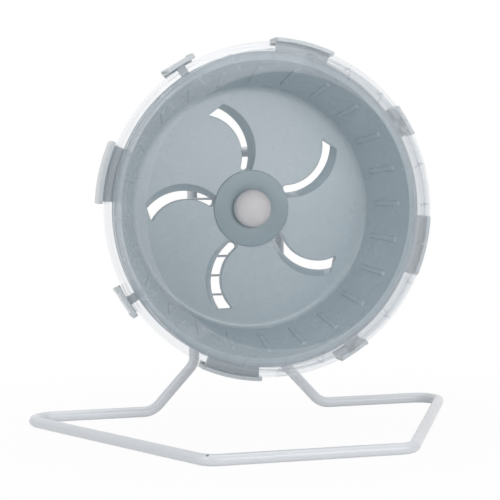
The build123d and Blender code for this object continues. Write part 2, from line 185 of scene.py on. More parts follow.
class Field:
    """A shader socket that takes part in sums."""

    def __init__(self, tree, socket):
        self.tree = tree
        self.socket = socket

    def math(self, operation, *others, swap=False):
        values = [self, *others]
        if swap:
            values.reverse()
        node = self.tree.nodes.new("ShaderNodeMath")
        node.operation = operation
        for slot, value in enumerate(values):
            if isinstance(value, Field):
                self.tree.links.new(value.socket, node.inputs[slot])
            else:
                node.inputs[slot].default_value = value
        return Field(self.tree, node.outputs[0])

    def __add__(self, other):
        return self.math("ADD", other)

    __radd__ = __add__

    def __mul__(self, other):
        return self.math("MULTIPLY", other)

    __rmul__ = __mul__

    def __sub__(self, other):
        return self.math("SUBTRACT", other)

    def __rsub__(self, other):
        return self.math("SUBTRACT", other, swap=True)

    def __truediv__(self, other):
        return self.math("DIVIDE", other)

    def less(self, limit, soft):
        """1 well below the limit, 0 above it, with a soft step between."""
        return 1 - ((self - (limit - soft)) / (2 * soft)).math("MINIMUM", 1.0).math("MAXIMUM", 0.0)


class Finish:
    """One material under construction around a Principled shader."""

    def __init__(self, name):
        self.material = bpy.data.materials.new(name)
        self.material.use_nodes = True
        self.tree = self.material.node_tree
        self.shader = self.tree.nodes["Principled BSDF"]
        self.output = self.tree.nodes["Material Output"]

    def node(self, kind, settings=None, **inputs):
        made = self.tree.nodes.new(kind)
        for key, value in (settings or {}).items():
            setattr(made, key, value)
        for key, value in inputs.items():
            socket = made.inputs[key.replace("_", " ")]
            if isinstance(value, Field):
                self.tree.links.new(value.socket, socket)
            elif isinstance(value, bpy.types.NodeSocket):
                self.tree.links.new(value, socket)
            else:
                socket.default_value = value
        return made

    def place(self):
        return self.node("ShaderNodeTexCoord").outputs["Object"]

    def noise(self, scale, detail=3.0, roughness=0.5):
        made = self.node("ShaderNodeTexNoise", Vector=self.place(), Scale=scale, Detail=detail,
                         Roughness=roughness)
        return Field(self.tree, made.outputs["Fac"])

    def radius(self):
        """Distance from the wheel's axis."""
        moved = self.node("ShaderNodeVectorMath", {"operation": "SUBTRACT"})
        self.tree.links.new(self.place(), moved.inputs[0])
        moved.inputs[1].default_value = WHEEL_CENTRE
        parts = self.node("ShaderNodeSeparateXYZ", Vector=moved.outputs[0])
        x = Field(self.tree, parts.outputs["X"])
        z = Field(self.tree, parts.outputs["Z"])
        return (x * x + z * z).math("SQRT")

    def along(self):
        """Distance behind the drum's back plate."""
        parts = self.node("ShaderNodeSeparateXYZ", Vector=self.place())
        return Field(self.tree, parts.outputs["Y"]) - WHEEL_CENTRE.y

    def distance(self, point):
        made = self.node("ShaderNodeVectorMath", {"operation": "DISTANCE"})
        self.tree.links.new(self.place(), made.inputs[0])
        made.inputs[1].default_value = point
        return Field(self.tree, made.outputs["Value"])

    def mix(self, mask, first, second):
        made = self.node("ShaderNodeMix", {"data_type": "RGBA"})
        self.tree.links.new(mask.socket, made.inputs["Factor"])
        for socket, value in ((made.inputs[6], first), (made.inputs[7], second)):
            if isinstance(value, bpy.types.NodeSocket):
                self.tree.links.new(value, socket)
            else:
                socket.default_value = (*value, 1.0)
        return made.outputs[2]

    def bump(self, height, distance, strength=1.0):
        made = self.node("ShaderNodeBump", Height=height, Distance=distance, Strength=strength)
        self.tree.links.new(made.outputs["Normal"], self.shader.inputs["Normal"])

    def feed(self, **values):
        for key, value in values.items():
            socket = self.shader.inputs[key.replace("_", " ")]
            if isinstance(value, Field):
                self.tree.links.new(value.socket, socket)
            elif isinstance(value, bpy.types.NodeSocket):
                self.tree.links.new(value, socket)
            else:
                socket.default_value = value
        return self.material


def shade(colour, share):
    """A colour made darker or lighter by a share."""
    return tuple(min(1.0, part * share) for part in colour)


def moulded_plastic(name, colour, roughness=0.24):
    """Glossy injection-moulded plastic with faint flow tint and a very fine skin."""
    made = Finish(name)
    tint = made.mix(made.noise(18.0, 2.0), shade(colour, 0.975), shade(colour, 1.025))
    gloss = made.noise(60.0) * 0.08 + (roughness - 0.04)
    made.bump(made.noise(900.0, 2.0), 0.00002)
    return made.feed(Base_Color=tint, Roughness=gloss, Specular_IOR_Level=0.5, Coat_Weight=0.15,
                     Coat_Roughness=0.12)


def drum_plastic(look):
    """The drum's plastic, whose raised boss has a darker, finer-grained face."""
    made = Finish("drum_plastic")
    on_boss = made.radius().less(BOSS_RADIUS * MM, 0.0002) * made.along().less(-0.0006, 0.0002)
    flow = made.mix(made.noise(12.0, 2.0), shade(look.drum, 0.988), shade(look.drum, 1.012))
    tint = made.mix(on_boss, flow, look.boss)
    gloss = made.noise(50.0) * 0.07 + 0.24 + on_boss * 0.12
    made.bump(made.noise(900.0, 2.0), 0.00002)
    return made.feed(Base_Color=tint, Roughness=gloss, Coat_Weight=0.2, Coat_Roughness=0.1)


def clear_plastic(look):
    """Clear plastic that tints what lies behind it and grows milky where it curves away."""
    made = Finish("clear_plastic")
    gloss = made.noise(30.0) * 0.04 + 0.06
    made.feed(Base_Color=(0.9, 0.92, 0.94, 1.0), Roughness=gloss, Coat_Weight=1.0, Coat_Roughness=0.03,
              Coat_IOR=2.0)
    view = made.node("ShaderNodeLayerWeight", Blend=0.5)
    edge = Field(made.tree, view.outputs["Facing"])
    haze = edge * edge * edge * edge * 0.55 + 0.07
    tint = made.node("ShaderNodeBsdfTransparent", Color=(*look.clear, 1.0))
    blend = made.node("ShaderNodeMixShader")
    link = made.tree.links.new
    link(haze.socket, blend.inputs[0])
    link(tint.outputs[0], blend.inputs[1])
    link(made.shader.outputs[0], blend.inputs[2])
    link(blend.outputs[0], made.output.inputs["Surface"])
    return made.material


def cap_plastic(look):
    """Soft matte plastic."""
    made = Finish("cap_plastic")
    tint = made.mix(made.noise(160.0), shade(look.cap, 0.96), shade(look.cap, 1.04))
    made.bump(made.noise(2200.0, 2.0), 0.00003)
    return made.feed(Base_Color=tint, Roughness=made.noise(300.0) * 0.1 + 0.5)


def coated_rod(look):
    """Powder coat on the bent rod, with a small dark spot where the loop's ends meet."""
    made = Finish("coated_rod")
    spot = (-FRONT_HALF * MM, WHEEL_CENTRE.y - FRONT_REACH * MM, 7.0 * MM)
    mark = made.distance(spot).less(0.0011, 0.0003)
    tint = made.mix(made.noise(25.0), shade(look.rod, 0.975), shade(look.rod, 1.02))
    made.bump(made.noise(1100.0, 1.0), 0.00003)
    gloss = made.noise(90.0) * 0.08 + 0.26
    return made.feed(Base_Color=made.mix(mark, tint, (0.18, 0.19, 0.22)), Roughness=gloss, Coat_Weight=0.25,
                     Coat_Roughness=0.15)


def turned_steel(name, colour, roughness, stretch):
    """Machined steel with fine lathe lines about the wheel's axis."""
    made = Finish(name)
    rings = (made.radius() * stretch).math("SINE")
    made.bump(rings, 0.00001, 0.3)
    gloss = made.noise(400.0) * 0.12 + (roughness - 0.06)
    tint = made.mix(made.noise(150.0), shade(colour, 0.92), shade(colour, 1.05))
    return made.feed(Base_Color=tint, Metallic=1.0, Roughness=gloss)


# Outlines and meshes

def rounded(points, steps=6):
    """Rounds each (a, b, radius) corner of a closed outline into short arcs."""
    made = []
    count = len(points)
    for k, (a, b, radius) in enumerate(points):
        here = Vector((a, b))
        back = Vector(points[k - 1][:2]) - here
        ahead = Vector(points[(k + 1) % count][:2]) - here
        if radius <= 0:
            made.append((a, b))
            continue
        half = back.angle(ahead) / 2
        reach = min(radius / math.tan(half), 0.499 * back.length, 0.499 * ahead.length)
        size = reach * math.tan(half)
        middle = here + (back.normalized() + ahead.normalized()).normalized() * (size / math.sin(half))
        first = here + back.normalized() * reach - middle
        last = here + ahead.normalized() * reach - middle
        turn = first.angle_signed(last)
        number = max(steps, int(abs(turn) * size / 0.8))
        for s in range(number + 1):
            angle = -turn * s / number
            made.append((middle.x + first.x * math.cos(angle) - first.y * math.sin(angle),
                         middle.y + first.x * math.sin(angle) + first.y * math.cos(angle)))
    return made


def wheel_point(radius, place, angle):
    """A point of the wheel by radius and place in millimetres and angle from the top in degrees."""
    turn = math.radians(angle)
    return WHEEL_CENTRE + Vector((radius * math.sin(turn), place, radius * math.cos(turn))) * MM


def new_object(name, build, material, sharp=35.0):
    """Makes a mesh object from a bmesh that the build function fills."""
    shape = bmesh.new()
    build(shape)
    bmesh.ops.remove_doubles(shape, verts=shape.verts, dist=1e-7)
    bmesh.ops.recalc_face_normals(shape, faces=shape.faces)
    mesh = bpy.data.meshes.new(name)
    shape.to_mesh(mesh)
    shape.free()
    smooth(mesh, sharp)
    mesh.materials.append(material)
    made = bpy.data.objects.new(name, mesh)
    bpy.context.scene.collection.objects.link(made)
    return made


def smooth(mesh, sharp):
    """Smooths every face and keeps edges sharp beyond an angle in degrees."""
    mesh.shade_smooth()
    mesh.set_sharp_from_angle(angle=math.radians(sharp))


def bridge(shape, rings, closed_rings, closed_sweep):
    """Joins rows of points into a skin of quads and returns the rows of vertices."""
    rows = [[shape.verts.new(point) for point in ring] for ring in rings]
    pairs = list(zip(rows, rows[1:]))
    if closed_sweep:
        pairs.append((rows[-1], rows[0]))
    for one, two in pairs:
        count = len(one)
        for k in range(count if closed_rings else count - 1):
            after = (k + 1) % count
            shape.faces.new((one[k], one[after], two[after], two[k]))
    return rows


def lathe(outline, steps):
    """Turns a closed (radius, place) outline once about the wheel's axis."""
    def build(shape):
        rings = [[wheel_point(r, y, 360 * s / steps) for r, y in outline] for s in range(steps)]
        bridge(shape, rings, True, True)
    return build


def lathe_from_axis(outline, steps):
    """Turns an open outline that starts and ends on the wheel's axis."""
    def build(shape):
        start = shape.verts.new(wheel_point(0, outline[0][1], 0))
        end = shape.verts.new(wheel_point(0, outline[-1][1], 0))
        inner = outline[1:-1]
        rings = [[wheel_point(r, y, 360 * s / steps) for r, y in inner] for s in range(steps)]
        rows = bridge(shape, rings, False, True)
        for s in range(steps):
            one = rows[s]
            two = rows[(s + 1) % steps]
            shape.faces.new((start, one[0], two[0]))
            shape.faces.new((end, two[-1], one[-1]))
    return build


def sweep_span(section, span, angle, steps):
    """Sweeps a section, given for each share of the span, about the wheel's axis and closes its ends."""
    def build(shape):
        rings = []
        for s in range(steps + 1):
            share = s / steps
            turn = angle + span * (share - 0.5)
            rings.append([wheel_point(r, y, turn) for r, y in section(share)])
        rows = bridge(shape, rings, True, False)
        shape.faces.new(rows[0])
        shape.faces.new(list(reversed(rows[-1])))
    return build


def all_of(*builds):
    """Joins several build functions into one."""
    def build(shape):
        for one in builds:
            one(shape)
    return build


def finished(made, sharp=35.0):
    """Turns an object and its modifiers into a plain mesh."""
    evaluated = made.evaluated_get(bpy.context.evaluated_depsgraph_get())
    mesh = bpy.data.meshes.new_from_object(evaluated)
    made.modifiers.clear()
    old = made.data
    made.data = mesh
    bpy.data.meshes.remove(old)
    smooth(mesh, sharp)
    return made


def bevelled(made, width, segments=3, angle=35.0):
    """Rounds an object's sharp edges by a width in millimetres."""
    modifier = made.modifiers.new("edges", "BEVEL")
    modifier.width = width * MM
    modifier.segments = segments
    modifier.limit_method = "ANGLE"
    modifier.angle_limit = math.radians(angle)
    modifier.harden_normals = False
    return finished(made, 60.0)


def seat(made, body, slot, *nodes):
    """Places a finished piece on its body in the stead of its nodes."""
    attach(made, body)
    if nodes:
        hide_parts(*nodes)
    return made


# Geometry node trees

def tree_with(name, inputs):
    """An empty geometry node tree with named inputs."""
    tree = bpy.data.node_groups.new(name, "GeometryNodeTree")
    tree.interface.new_socket("Geometry", in_out="INPUT", socket_type="NodeSocketGeometry")
    for label, kind in inputs:
        tree.interface.new_socket(label, in_out="INPUT", socket_type=kind)
    tree.interface.new_socket("Geometry", in_out="OUTPUT", socket_type="NodeSocketGeometry")
    return tree, tree.nodes.new("NodeGroupInput"), tree.nodes.new("NodeGroupOutput")


def apply_tree(made, tree, values):
    """Runs a tree on an object with its named inputs set, and keeps the result as a plain mesh."""
    modifier = made.modifiers.new(tree.name, "NODES")
    modifier.node_group = tree
    for item in tree.interface.items_tree:
        if item.in_out == "INPUT" and item.name in values:
            modifier[item.identifier] = values[item.name]
    return finished(made)


def round_tree():
    """Copies the piece that it is given around the wheel's axis."""
    tree, entry, end = tree_with("Around the axle", [
        ("Count", "NodeSocketInt"), ("Phase", "NodeSocketFloat"), ("Centre", "NodeSocketVector"),
        ("Material", "NodeSocketMaterial")])
    link = tree.links.new
    points = tree.nodes.new("GeometryNodePoints")
    link(entry.outputs["Count"], points.inputs["Count"])
    link(entry.outputs["Centre"], points.inputs["Position"])
    index = tree.nodes.new("GeometryNodeInputIndex")
    step = tree.nodes.new("ShaderNodeMath")
    step.operation = "DIVIDE"
    step.inputs[0].default_value = 2 * math.pi
    link(entry.outputs["Count"], step.inputs[1])
    turn = tree.nodes.new("ShaderNodeMath")
    turn.operation = "MULTIPLY_ADD"
    link(index.outputs[0], turn.inputs[0])
    link(step.outputs[0], turn.inputs[1])
    link(entry.outputs["Phase"], turn.inputs[2])
    rotation = tree.nodes.new("ShaderNodeCombineXYZ")
    link(turn.outputs[0], rotation.inputs["Y"])
    copies = tree.nodes.new("GeometryNodeInstanceOnPoints")
    link(points.outputs[0], copies.inputs["Points"])
    link(entry.outputs["Geometry"], copies.inputs["Instance"])
    link(rotation.outputs[0], copies.inputs["Rotation"])
    finish_tree(tree, copies.outputs[0], entry, end)
    return tree


def finish_tree(tree, result, entry, end):
    """Ends a tree by realizing its instances and painting them."""
    real = tree.nodes.new("GeometryNodeRealizeInstances")
    paint = tree.nodes.new("GeometryNodeSetMaterial")
    tree.links.new(result, real.inputs[0])
    tree.links.new(real.outputs[0], paint.inputs["Geometry"])
    tree.links.new(entry.outputs["Material"], paint.inputs["Material"])
    tree.links.new(paint.outputs[0], end.inputs[0])


def rod_tree():
    """Bends the polyline that it is given by each corner's own radius and gives it a round section."""
    tree, entry, end = tree_with("Bent rod", [
        ("Rod radius", "NodeSocketFloat"), ("Sides", "NodeSocketInt"), ("Material", "NodeSocketMaterial")])
    link = tree.links.new
    curve = tree.nodes.new("GeometryNodeMeshToCurve")
    link(entry.outputs["Geometry"], curve.inputs["Mesh"])
    bend = tree.nodes.new("GeometryNodeInputNamedAttribute")
    bend.data_type = "FLOAT"
    bend.inputs["Name"].default_value = "bend"
    corner = tree.nodes.new("GeometryNodeFilletCurve")
    corner.mode = "POLY"
    corner.inputs["Count"].default_value = 18
    link(curve.outputs[0], corner.inputs["Curve"])
    link(bend.outputs["Attribute"], corner.inputs["Radius"])
    section = tree.nodes.new("GeometryNodeCurvePrimitiveCircle")
    link(entry.outputs["Rod radius"], section.inputs["Radius"])
    link(entry.outputs["Sides"], section.inputs["Resolution"])
    skin = tree.nodes.new("GeometryNodeCurveToMesh")
    skin.inputs["Fill Caps"].default_value = True
    link(corner.outputs[0], skin.inputs["Curve"])
    link(section.outputs[0], skin.inputs["Profile Curve"])
    finish_tree(tree, skin.outputs[0], entry, end)
    return tree


def around_axle(name, build, count, phase, material):
    """A repeated detail, drawn once about the wheel's centre and copied around the axle."""
    made = new_object(name, build, material)
    made.data.transform(Matrix.Translation(-WHEEL_CENTRE))
    values = {"Count": count, "Phase": math.radians(phase), "Centre": WHEEL_CENTRE, "Material": material}
    return apply_tree(made, round_tree(), values)


# Drum

def drum_outline():
    """The drum's closed section, from the boss out along the plate and wall and back behind them."""
    slope = math.tan(WALL_TAPER)
    outer_at_plate = WALL_AT_PLATE + DRUM_WALL / math.cos(WALL_TAPER)
    return rounded([
        (POCKET_RADIUS, -BOSS_RISE, 0.3), (BOSS_RADIUS, -BOSS_RISE, 0.7), (BOSS_RADIUS, 0, 0.25),
        (BOSS_RADIUS + 1.2, 0, 0), (PLATE_RADIUS - 0.8, 0, 0), (WALL_AT_PLATE, 0, CORNER_RADIUS),
        (WALL_RIM_RADIUS - 1.0 * slope, -DRUM_DEPTH + 1.0, 0), (WALL_RIM_RADIUS, -DRUM_DEPTH, 0.5),
        (FLANGE_RADIUS, -DRUM_DEPTH, 0.4), (FLANGE_RADIUS, -DRUM_DEPTH + FLANGE_THICKNESS, 0.4),
        (outer_at_plate + (DRUM_DEPTH - FLANGE_THICKNESS) * slope, -DRUM_DEPTH + FLANGE_THICKNESS, 0.6),
        (outer_at_plate - PLATE_THICKNESS * slope, PLATE_THICKNESS, CORNER_RADIUS + DRUM_WALL),
        (HUB_RADIUS, PLATE_THICKNESS, 2.5), (HUB_RADIUS, HUB_REAR, 0.4), (POCKET_RADIUS, HUB_REAR, 0.3),
        (POCKET_RADIUS, REAR_POCKET_FRONT, 0), (WEB_BORE, REAR_POCKET_FRONT, 0),
        (WEB_BORE, FRONT_POCKET_REAR, 0), (POCKET_RADIUS, FRONT_POCKET_REAR, 0)])


def arc_points(circle, number, backwards=False):
    """Points along an arc given by its centre, radius and two angles in degrees."""
    centre, radius, (start, stop) = circle
    angles = [math.radians(start + (stop - start) * k / number) for k in range(number + 1)]
    if backwards:
        angles.reverse()
    return [(centre[0] + radius * math.cos(a), centre[1] + radius * math.sin(a)) for a in angles]


def slot_outline(outer, number=22):
    """The closed outline of one slot: outer arc, slanted end, inner arc and rounded foot."""
    out = [(x, z, 0) for x, z in arc_points(outer, number)]
    back = [(x, z, 0) for x, z in arc_points(SLOT_INSIDE, number, backwards=True)]
    out[-1] = (*out[-1][:2], 1.3)
    back[0] = (*back[0][:2], 1.0)
    foot = Vector(out[0][:2])
    heel = Vector(back[-1][:2])
    middle = (foot + heel) / 2
    across = (foot - heel) / 2
    down = Vector((across.y, -across.x)) * 0.85
    bend = []
    for k in range(1, 8):
        angle = math.pi * (1 - k / 8)
        bend.append(tuple(middle + across * math.cos(angle) + down * math.sin(angle)) + (0,))
    return rounded(out + back + bend, 5)


def grown(outline, by):
    """Moves a closed outline outwards by a distance."""
    count = len(outline)
    made = []
    for k in range(count):
        before = Vector(outline[k - 1])
        after = Vector(outline[(k + 1) % count])
        along = (after - before).normalized()
        made.append((outline[k][0] + along.y * by, outline[k][1] - along.x * by))
    return made


def slot_cutter(angle):
    """A plug with a flared front, so that the slot's front edge comes out rounded."""
    front = slot_outline(SLOT_FRONT)
    back = slot_outline(SLOT_BACK)
    layers = [(-0.3, grown(front, 0.9)), (-0.02, grown(front, 0.75)), (0.12, grown(front, 0.42)),
              (0.4, grown(front, 0.14)), (0.8, front)]
    share = (PLATE_THICKNESS + 1.0) / PLATE_THICKNESS
    past = [(f[0] + (b[0] - f[0]) * share, f[1] + (b[1] - f[1]) * share) for f, b in zip(front, back)]
    layers += [(PLATE_THICKNESS + 1.0, past)]
    turn = math.radians(angle)

    def build(shape):
        rings = []
        for place, outline in layers:
            rings.append([WHEEL_CENTRE + Vector((x * math.cos(turn) + z * math.sin(turn), place,
                                                 z * math.cos(turn) - x * math.sin(turn))) * MM
                          for x, z in outline])
        rows = bridge(shape, rings, True, False)
        shape.faces.new(rows[0])
        shape.faces.new(list(reversed(rows[-1])))
    return build


def tread_build(shape):
    """One low tread bar at the right of the wheel, soft along its edges and run out at both ends."""
    half = TREAD_HALF_WIDTH
    run_in = [(TREAD_REAR - 0.6, -0.3), (TREAD_REAR, 0.5), (TREAD_REAR + 0.6, 0.9), (TREAD_REAR + 1.4, 1.0)]
    run_out = [(TREAD_FRONT - 1.4, 1.0), (TREAD_FRONT - 0.6, 0.9), (TREAD_FRONT, 0.5),
               (TREAD_FRONT + 0.6, -0.3)]
    rows = []
    for depth, share in run_in + run_out:
        top = TREAD_HEIGHT * share
        flank = [(-TREAD_ROOT, half), (min(top, 0.02), half), (top * 0.55, half - 0.2),
                 (top * 0.9, half - 0.45), (top, half - 0.8)]
        section = [(height, -across) for height, across in flank] + flank[::-1]
        radius = WALL_AT_PLATE + depth * math.tan(WALL_TAPER)
        rows.append([WHEEL_CENTRE + Vector((radius - height * math.cos(WALL_TAPER),
                                            -depth - height * math.sin(WALL_TAPER), across)) * MM
                     for height, across in section])
    made = bridge(shape, rows, True, False)
    shape.faces.new(made[0])
    shape.faces.new(list(reversed(made[-1])))


class WHEEL_OT_drum(bpy.types.Operator):
    """Builds the drum with its rounded corner, slots and treads"""
    bl_idname = "wheel.drum"
    bl_label = "Drum"

    def execute(self, context):
        form = context.scene.wheel_form
        plastic = drum_plastic(context.scene.wheel_finish)
        drum = new_object("drum_shell", lathe(drum_outline(), 360), plastic)
        angles = [SLOT_PHASE + 360 * k / form.slot_count for k in range(form.slot_count)]
        cutter = new_object("slot_plugs", all_of(*[slot_cutter(a) for a in angles]), plastic)
        cut = drum.modifiers.new("slots", "BOOLEAN")
        cut.operation = "DIFFERENCE"
        cut.solver = "EXACT"
        cut.object = cutter
        drum = finished(drum, 20.0)
        bpy.data.objects.remove(cutter)
        seat(drum, "wheel", "drum_plastic", "wheel_dish")
        treads = around_axle("tread_bars", tread_build, form.tread_count, TREAD_PHASE, plastic)
        seat(treads, "wheel", "drum_plastic")
        return {"FINISHED"}


# Guard ring

def ring_outline():
    """The guard ring's closed section: wall, skirt, shoulder and slanted lip."""
    slant = RING_WALL * math.sqrt(0.5)
    inner = RING_RADIUS - RING_WALL
    lip_front = RING_CORNER + RING_RADIUS - RING_LIP_RADIUS
    return rounded([
        (inner, -DRUM_DEPTH - 0.02, 0.3), (RING_RADIUS, -DRUM_DEPTH - 0.02, 0.3),
        (RING_RADIUS, -SKIRT_FRONT + RING_WALL, 0.6),
        (SKIRT_RADIUS - RING_WALL, -SKIRT_FRONT + RING_WALL, 0.6),
        (SKIRT_RADIUS - RING_WALL, -SKIRT_REAR, 0.4), (SKIRT_RADIUS, -SKIRT_REAR, 0.4),
        (SKIRT_RADIUS, -SKIRT_FRONT, 0.9), (RING_RADIUS, -SKIRT_FRONT, 0.6),
        (RING_RADIUS, -RING_CORNER, 2.5),
        (RING_LIP_RADIUS, -lip_front, 1.0), (RING_LIP_RADIUS - slant, -lip_front + slant, 1.0),
        (inner, -RING_CORNER + RING_WALL * math.tan(math.radians(22.5)), 1.2)], 8)


def rib_build(shape):
    """One thin rib at the right of the ring: up the wall, round the corner and over most of the lip."""
    reach = RIB_LIP_SHARE * (RING_RADIUS - RING_LIP_RADIUS)
    half = RIB_HALF_WIDTH
    line = [(RING_RADIUS, -SKIRT_FRONT, (1, 0)), (RING_RADIUS, -RING_CORNER + 1.2, (1, 0)),
            (RING_RADIUS - 0.35, -RING_CORNER - 0.35, (0.924, -0.383)),
            (RING_RADIUS - reach + 1.0, -RING_CORNER - reach + 1.0, (0.707, -0.707)),
            (RING_RADIUS - reach, -RING_CORNER - reach, (0.707, -0.707))]
    rows = []
    for k, (r, y, normal) in enumerate(line):
        lift = 0.1 if k == len(line) - 1 else RIB_HEIGHT
        flank = [(-RIB_ROOT, half), (lift * 0.7, half), (lift, half * 0.4)]
        section = [(h, -w) for h, w in flank] + flank[::-1]
        rows.append([WHEEL_CENTRE + Vector((r + normal[0] * h, y + normal[1] * h, w)) * MM
                     for h, w in section])
    made = bridge(shape, rows, True, False)
    shape.faces.new(made[0])
    shape.faces.new(list(reversed(made[-1])))


class WHEEL_OT_guard_ring(bpy.types.Operator):
    """Builds the clear guard ring and its outside ribs"""
    bl_idname = "wheel.guard_ring"
    bl_label = "Guard ring"

    def execute(self, context):
        plastic = clear_plastic(context.scene.wheel_finish)
        ring = new_object("guard_ring", lathe(ring_outline(), 360), plastic)
        seat(ring, "wheel", "clear_plastic", "clear_ring")
        count = context.scene.wheel_form.tread_count
        ribs = around_axle("ring_ribs", rib_build, count, TREAD_PHASE, plastic)
        seat(ribs, "wheel", "clear_plastic")
        return {"FINISHED"}


# Clips

def clip_section(span):
    """The outer plate's L section for each share of its span, shorter at the rounded front corners."""
    length = math.radians(span) * CLIP_OUTER

    def section(share):
        edge = min(share, 1 - share) * length
        miss = max(0.0, CLIP_CORNER - edge)
        inset = CLIP_CORNER - math.sqrt(CLIP_CORNER * CLIP_CORNER - miss * miss)
        front = -CLIP_FRONT + inset
        toe = CLIP_INNER - CLIP_TOE
        step = -CLIP_REAR - CLIP_TOE_LENGTH
        return rounded([(CLIP_INNER, front, 0.35), (CLIP_OUTER, front, 0.6), (CLIP_OUTER, -CLIP_REAR, 0.6),
                        (toe, -CLIP_REAR, 0.4), (toe, step, 0.4), (CLIP_INNER, step, 0.2)], 4)
    return section


def block_section(low, high, front, rear, rounding):
    """A rounded box section that stays the same over its span."""
    outline = rounded([(low, front, rounding), (high, front, rounding), (high, rear, rounding),
                       (low, rear, rounding)], 3)
    return lambda share: outline


def clip_builds(span, angle, web_span):
    """One clip's outer plate and the web that grips the drum's flange from behind."""
    rear = -DRUM_DEPTH + FLANGE_THICKNESS
    web = block_section(WALL_RIM_RADIUS + DRUM_WALL + 0.3, CLIP_INNER + 0.2, rear + WEB_GAP,
                        rear + WEB_LENGTH, 0.5)
    return [sweep_span(clip_section(span), span, angle, 48), sweep_span(web, web_span, angle, 36)]


def cheek_builds(angle):
    """The raised cheeks at the two ends of a short latch."""
    span = math.degrees(CHEEK_WIDTH / CLIP_OUTER)
    cheek = block_section(CLIP_OUTER - CHEEK_ROOT, CLIP_OUTER + CHEEK_LIFT, -CLIP_FRONT + CHEEK_INSET,
                          -CLIP_REAR - CHEEK_INSET, 0.4)
    swing = (SHORT_SPAN - span) / 2
    return [sweep_span(cheek, span, angle + turn, 4) for turn in (-swing, swing)]


class WHEEL_OT_clips(bpy.types.Operator):
    """Builds the long clips and the short latches around the rim"""
    bl_idname = "wheel.clips"
    bl_label = "Clips"

    def execute(self, context):
        plastic = moulded_plastic("clip_plastic", context.scene.wheel_finish.clip, 0.28)
        for k in range(4):
            angle = LONG_PHASE + 90 * k
            builds = clip_builds(LONG_SPAN, angle, LONG_WEB_SPAN)
            clip = new_object(f"rim_clip_{k + 1}", all_of(*builds), plastic)
            seat(bevelled(clip, 0.35), "wheel", "clip_plastic", f"long_clip_{k + 1}")
            angle = SHORT_PHASE + 90 * k
            builds = clip_builds(SHORT_SPAN, angle, SHORT_WEB_SPAN) + cheek_builds(angle)
            latch = new_object(f"rim_latch_{k + 1}", all_of(*builds), plastic)
            seat(bevelled(latch, 0.3), "wheel", "clip_plastic", f"short_latch_{k + 1}")
        return {"FINISHED"}


# Hub

class WHEEL_OT_hub_cap(bpy.types.Operator):
    """Builds the domed hub cap"""
    bl_idname = "wheel.hub_cap"
    bl_label = "Hub cap"

    def execute(self, context):
        side = BOSS_RISE + CAP_SIDE
        rise = CAP_REACH - side
        dome = [(CAP_RADIUS * math.cos(a), -side - rise * math.sin(a))
                for a in [math.pi / 2 * k / 24 for k in range(25)]]
        inner = CAP_RADIUS - CAP_WALL
        hollow = [(inner * math.cos(a), -side - (rise - CAP_WALL) * math.sin(a))
                  for a in [math.pi / 2 * k / 16 for k in range(16, -1, -1)]]
        foot = [(inner, -BOSS_RISE - 0.3), (inner + 0.3, -BOSS_RISE), (CAP_RADIUS - 0.3, -BOSS_RISE),
                (CAP_RADIUS, -BOSS_RISE - 0.3)]
        plastic = cap_plastic(context.scene.wheel_finish)
        cap = new_object("domed_cap", lathe_from_axis(hollow + foot + dome, 96), plastic, 50.0)
        seat(cap, "wheel", "cap_plastic", "hub_cap")
        return {"FINISHED"}


# Stand

def polyline(name, points, bends, closed, material):
    """A line of points with each corner's bend radius, for the rod tree."""
    mesh = bpy.data.meshes.new(name)
    edges = [(k, k + 1) for k in range(len(points) - 1)]
    if closed:
        edges.append((len(points) - 1, 0))
    mesh.from_pydata(points, edges, [])
    bend = mesh.attributes.new("bend", "FLOAT", "POINT")
    bend.data.foreach_set("value", [value * MM for value in bends])
    mesh.materials.append(material)
    made = bpy.data.objects.new(name, mesh)
    bpy.context.scene.collection.objects.link(made)
    return made


class WHEEL_OT_stand(bpy.types.Operator):
    """Bends the stand's rod loop and lays the cross rungs on it"""
    bl_idname = "wheel.stand"
    bl_label = "Stand"

    def execute(self, context):
        form = context.scene.wheel_form
        coat = coated_rod(context.scene.wheel_finish)
        back = WHEEL_CENTRE.y + STAND_PLACE * MM
        front = WHEEL_CENTRE.y - FRONT_REACH * MM
        top = WHEEL_CENTRE.z + TOP_BAR_RISE * MM
        low = LOW_BEND * MM
        floor = form.rod_radius
        half = [(UPRIGHT_HALF, back, top, 12), (UPRIGHT_HALF, back, low, 12),
                (GROUND_HALF, back, floor, 14), (REAR_HALF, back, floor, 14), (FRONT_HALF, front, floor, 12)]
        loop = [(x * MM, y, z) for x, y, z, _ in half] + [(-x * MM, y, z) for x, y, z, _ in reversed(half)]
        bends = [b for _, _, _, b in half] + [b for _, _, _, b in reversed(half)]
        rod = polyline("rod_loop", loop, bends, True, coat)
        rod = apply_tree(rod, rod_tree(), {"Rod radius": form.rod_radius, "Sides": 40, "Material": coat})
        seat(rod, "stand", "coated_rod", "stand_frame")
        ends = (UPRIGHT_HALF + RUNG_OVERHANG) * MM
        place = WHEEL_CENTRE.y + RUNG_PLACE * MM
        for k in range(form.rung_count):
            height = WHEEL_CENTRE.z + (TOP_RUNG - RUNG_PITCH * k) * MM
            line = [(-ends, place, height), (ends, place, height)]
            wire = polyline(f"rung_{k + 1}", line, [0, 0], False, coat)
            values = {"Rod radius": form.rung_radius, "Sides": 16, "Material": coat}
            wire = apply_tree(wire, rod_tree(), values)
            nodes = ("cross_rungs",) if k == 0 else ()
            seat(wire, "stand", "coated_rod", *nodes)
        return {"FINISHED"}


# Hardware behind and inside the hub

